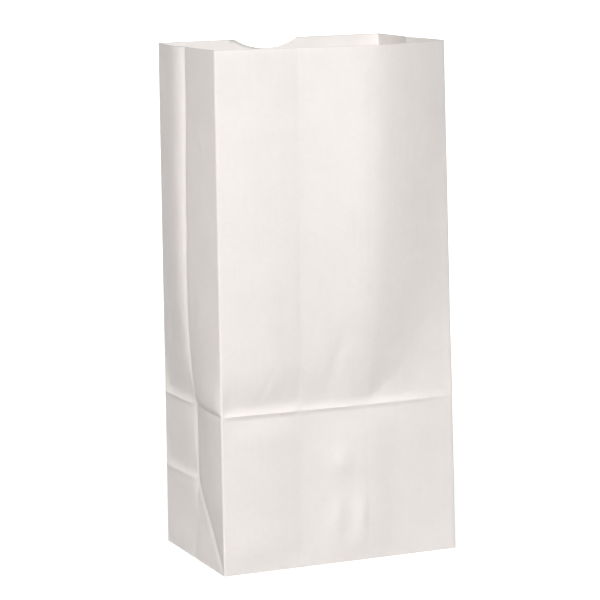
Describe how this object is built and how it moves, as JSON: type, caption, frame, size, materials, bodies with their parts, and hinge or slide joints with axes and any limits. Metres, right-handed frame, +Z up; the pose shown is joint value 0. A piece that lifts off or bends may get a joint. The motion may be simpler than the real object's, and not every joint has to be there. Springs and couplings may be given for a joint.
{
  "type": "paper lunch bag",
  "caption": "White flat-bottomed paper lunch bag standing open, with folded gussets, a crease ring, a thumb notch and a glued base.",
  "frame": {"origin": "middle of the base's underside, on the outer glued flap", "axes": "+Z up from the base to the open mouth, -Y out of the plain front panel, +Y out of the back panel with the glued lap and the thumb notch, +X to the right seen from the front"},
  "size_m": [0.1381, 0.1013, 0.276],
  "materials": {
    "paper": "matte white paper"
  },
  "bodies": {
    "root": {"paper_bag": "paper"}
  },
  "joints": []
}
